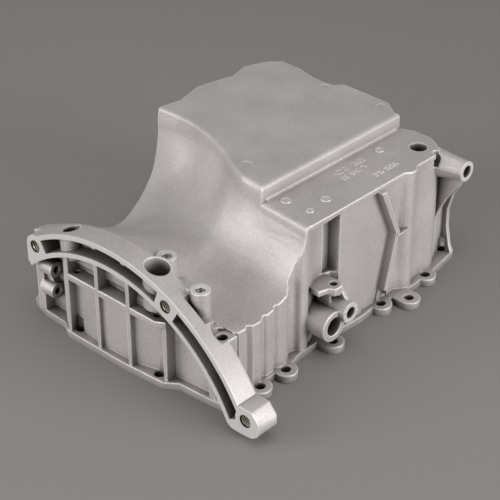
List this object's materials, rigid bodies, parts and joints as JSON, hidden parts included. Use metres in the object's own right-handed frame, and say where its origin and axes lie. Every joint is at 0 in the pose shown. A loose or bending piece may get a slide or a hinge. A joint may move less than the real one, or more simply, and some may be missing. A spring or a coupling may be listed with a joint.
{
  "type": "engine oil pan",
  "caption": "Die-cast aluminium oil pan with a bolting rail, a deep sump, a shallow front and an arched gearbox face with threaded holes.",
  "frame": {"origin": "on the block face (rail), under the crankshaft's centre plane, at the plane of the gearbox face", "axes": "+Z from the block face to the sump's bottom (the pan stands on its rail as pictured, upside down to the engine), -Y out of the gearbox face, +X to the side with the port and the ring bosses"},
  "size_m": [0.2773, 0.313, 0.131],
  "materials": {
    "cast_aluminium": "as-cast satin, machined faces brighter"
  },
  "bodies": {
    "root": {"oil_pan": "cast_aluminium"}
  },
  "joints": []
}
